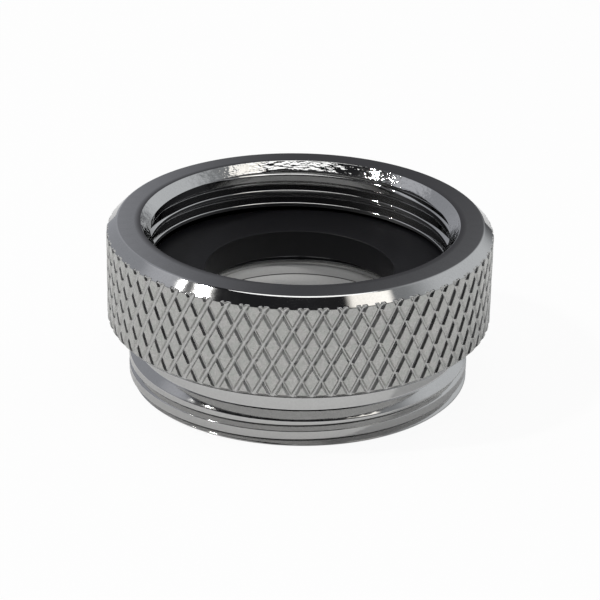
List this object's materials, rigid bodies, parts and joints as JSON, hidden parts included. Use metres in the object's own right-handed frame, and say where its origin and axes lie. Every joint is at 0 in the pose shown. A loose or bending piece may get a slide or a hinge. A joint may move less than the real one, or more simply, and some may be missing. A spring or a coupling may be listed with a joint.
{
  "type": "aerator adapter",
  "caption": "Short round tap adapter: a diamond-knurled chrome collar with an inside thread and a flat rubber washer above, and an outside thread below.",
  "frame": {"origin": "centre of the base of the male end, on the axis", "axes": "+Z along the axis, from the base of the male end to the rim of the female end"},
  "size_m": [0.027, 0.027, 0.0116],
  "materials": {
    "chrome_plate": "bright chrome plate over turned brass, with fine plating texture on the knurl",
    "washer_rubber": "smooth black rubber with a slight sheen"
  },
  "bodies": {
    "root": {"adapter_body": "chrome_plate", "sealing_washer": "washer_rubber"}
  },
  "joints": []
}
